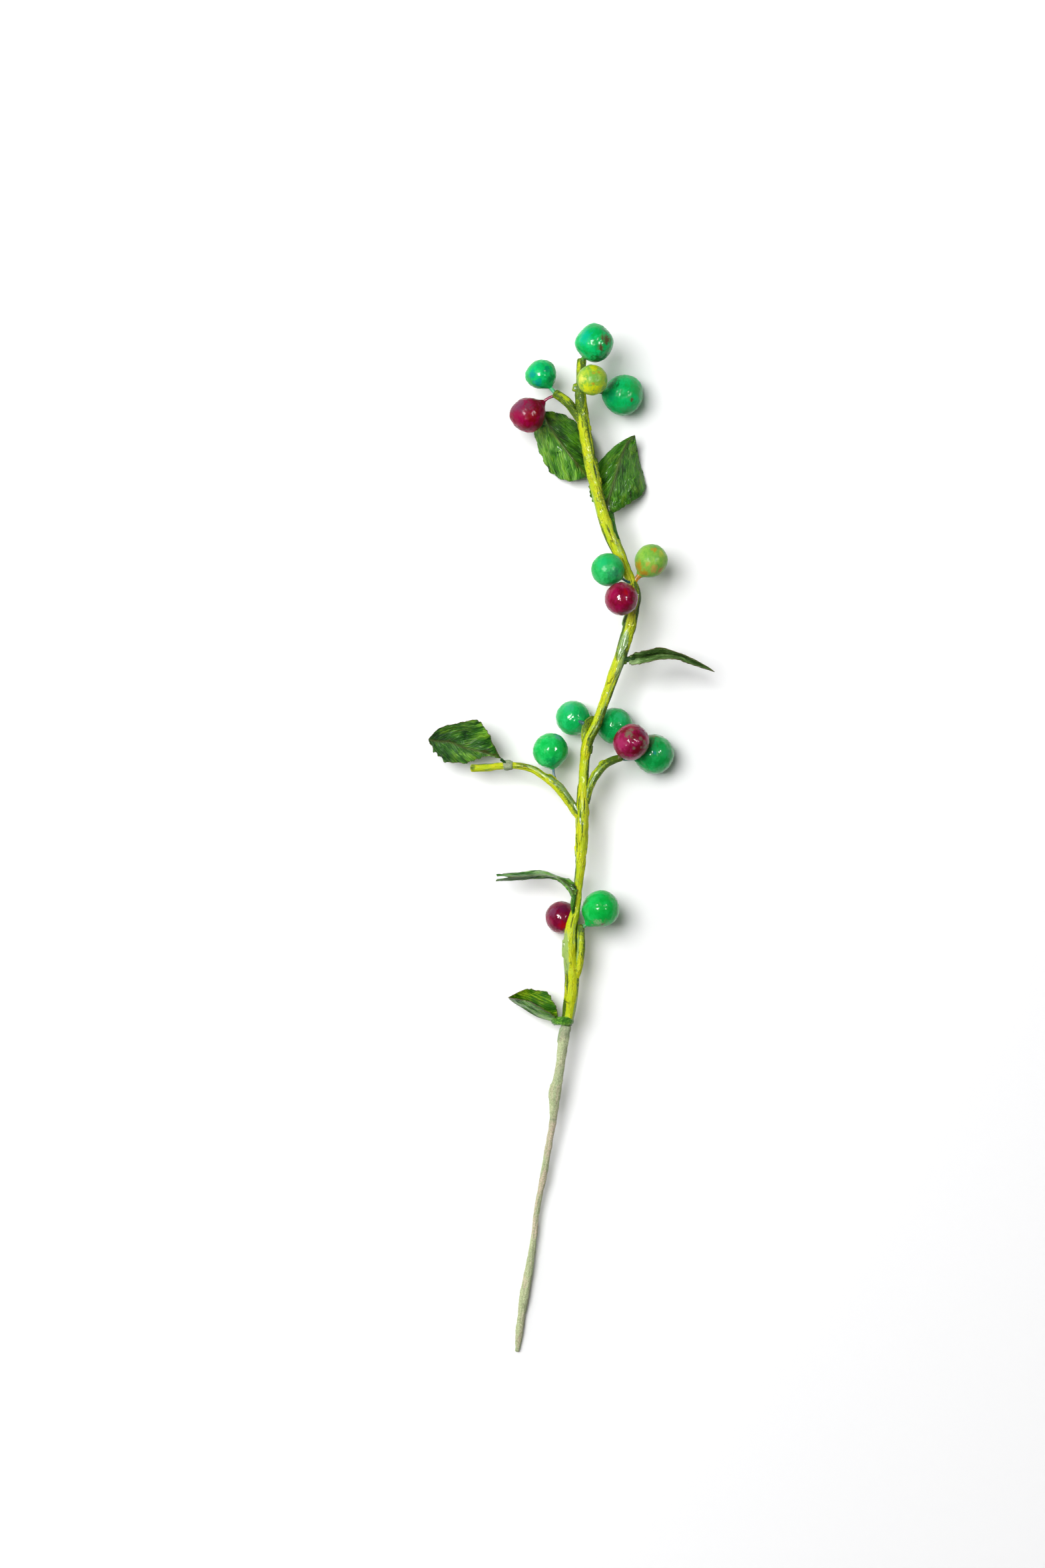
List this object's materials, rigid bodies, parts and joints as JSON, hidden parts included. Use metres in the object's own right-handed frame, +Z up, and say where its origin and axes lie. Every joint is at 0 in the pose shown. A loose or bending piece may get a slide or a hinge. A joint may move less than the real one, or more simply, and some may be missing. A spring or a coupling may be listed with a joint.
{
  "type": "artificial chokeberry sprig",
  "caption": "Handmade chokeberry sprig lying on its back: a tape-wrapped wire stem with short forks, lacquered green and crimson berries on fine stalks, and ribbed crepe-paper leaves.",
  "frame": {"origin": "on the surface the sprig lies on, under the middle of its outer box", "axes": "+Y from the cut end towards the top berry, +Z up from the surface, +X to the right seen from above"},
  "size_m": [0.0951, 0.3409, 0.0279],
  "materials": {
    "stem_wrap": "satin",
    "floral_tape": "matte",
    "green_berry": "gloss",
    "crimson_berry": "gloss",
    "lime_berry": "gloss",
    "blush_berry": "gloss",
    "berry_stalk": "satin",
    "leaf_paper": "satin",
    "leaf_stalk": "satin"
  },
  "bodies": {
    "root": {"main_stem": "stem_wrap", "shank": "floral_tape", "top_fork": "stem_wrap", "bracket_branch": "stem_wrap", "left_branch": "stem_wrap", "right_branch": "stem_wrap", "lower_branch": "stem_wrap", "leaf_collar": "floral_tape", "berry_1": "green_berry", "berry_2": "green_berry", "berry_3": "crimson_berry", "berry_4": "lime_berry", "berry_5": "green_berry", "berry_6": "green_berry", "berry_7": "blush_berry", "berry_8": "crimson_berry", "berry_9": "green_berry", "berry_10": "green_berry", "berry_11": "green_berry", "berry_12": "crimson_berry", "berry_13": "green_berry", "berry_14": "crimson_berry", "berry_15": "green_berry", "berry_stalk_1": "berry_stalk", "berry_stalk_2": "berry_stalk", "berry_stalk_3": "berry_stalk", "berry_stalk_4": "berry_stalk", "berry_stalk_5": "berry_stalk", "berry_stalk_6": "berry_stalk", "berry_stalk_7": "berry_stalk", "berry_stalk_8": "berry_stalk", "berry_stalk_9": "berry_stalk", "berry_stalk_10": "berry_stalk", "berry_stalk_11": "berry_stalk", "berry_stalk_12": "berry_stalk", "berry_stalk_13": "berry_stalk", "berry_stalk_14": "berry_stalk", "berry_stalk_15": "berry_stalk", "leaf_1": "leaf_paper", "leaf_2": "leaf_paper", "leaf_3": "leaf_paper", "leaf_4": "leaf_paper", "leaf_5": "leaf_paper", "leaf_6": "leaf_paper", "leaf_stalk_1": "leaf_stalk", "leaf_stalk_2": "leaf_stalk", "leaf_stalk_3": "leaf_stalk", "leaf_stalk_4": "leaf_stalk", "leaf_stalk_5": "leaf_stalk", "leaf_stalk_6": "leaf_stalk"}
  },
  "joints": []
}
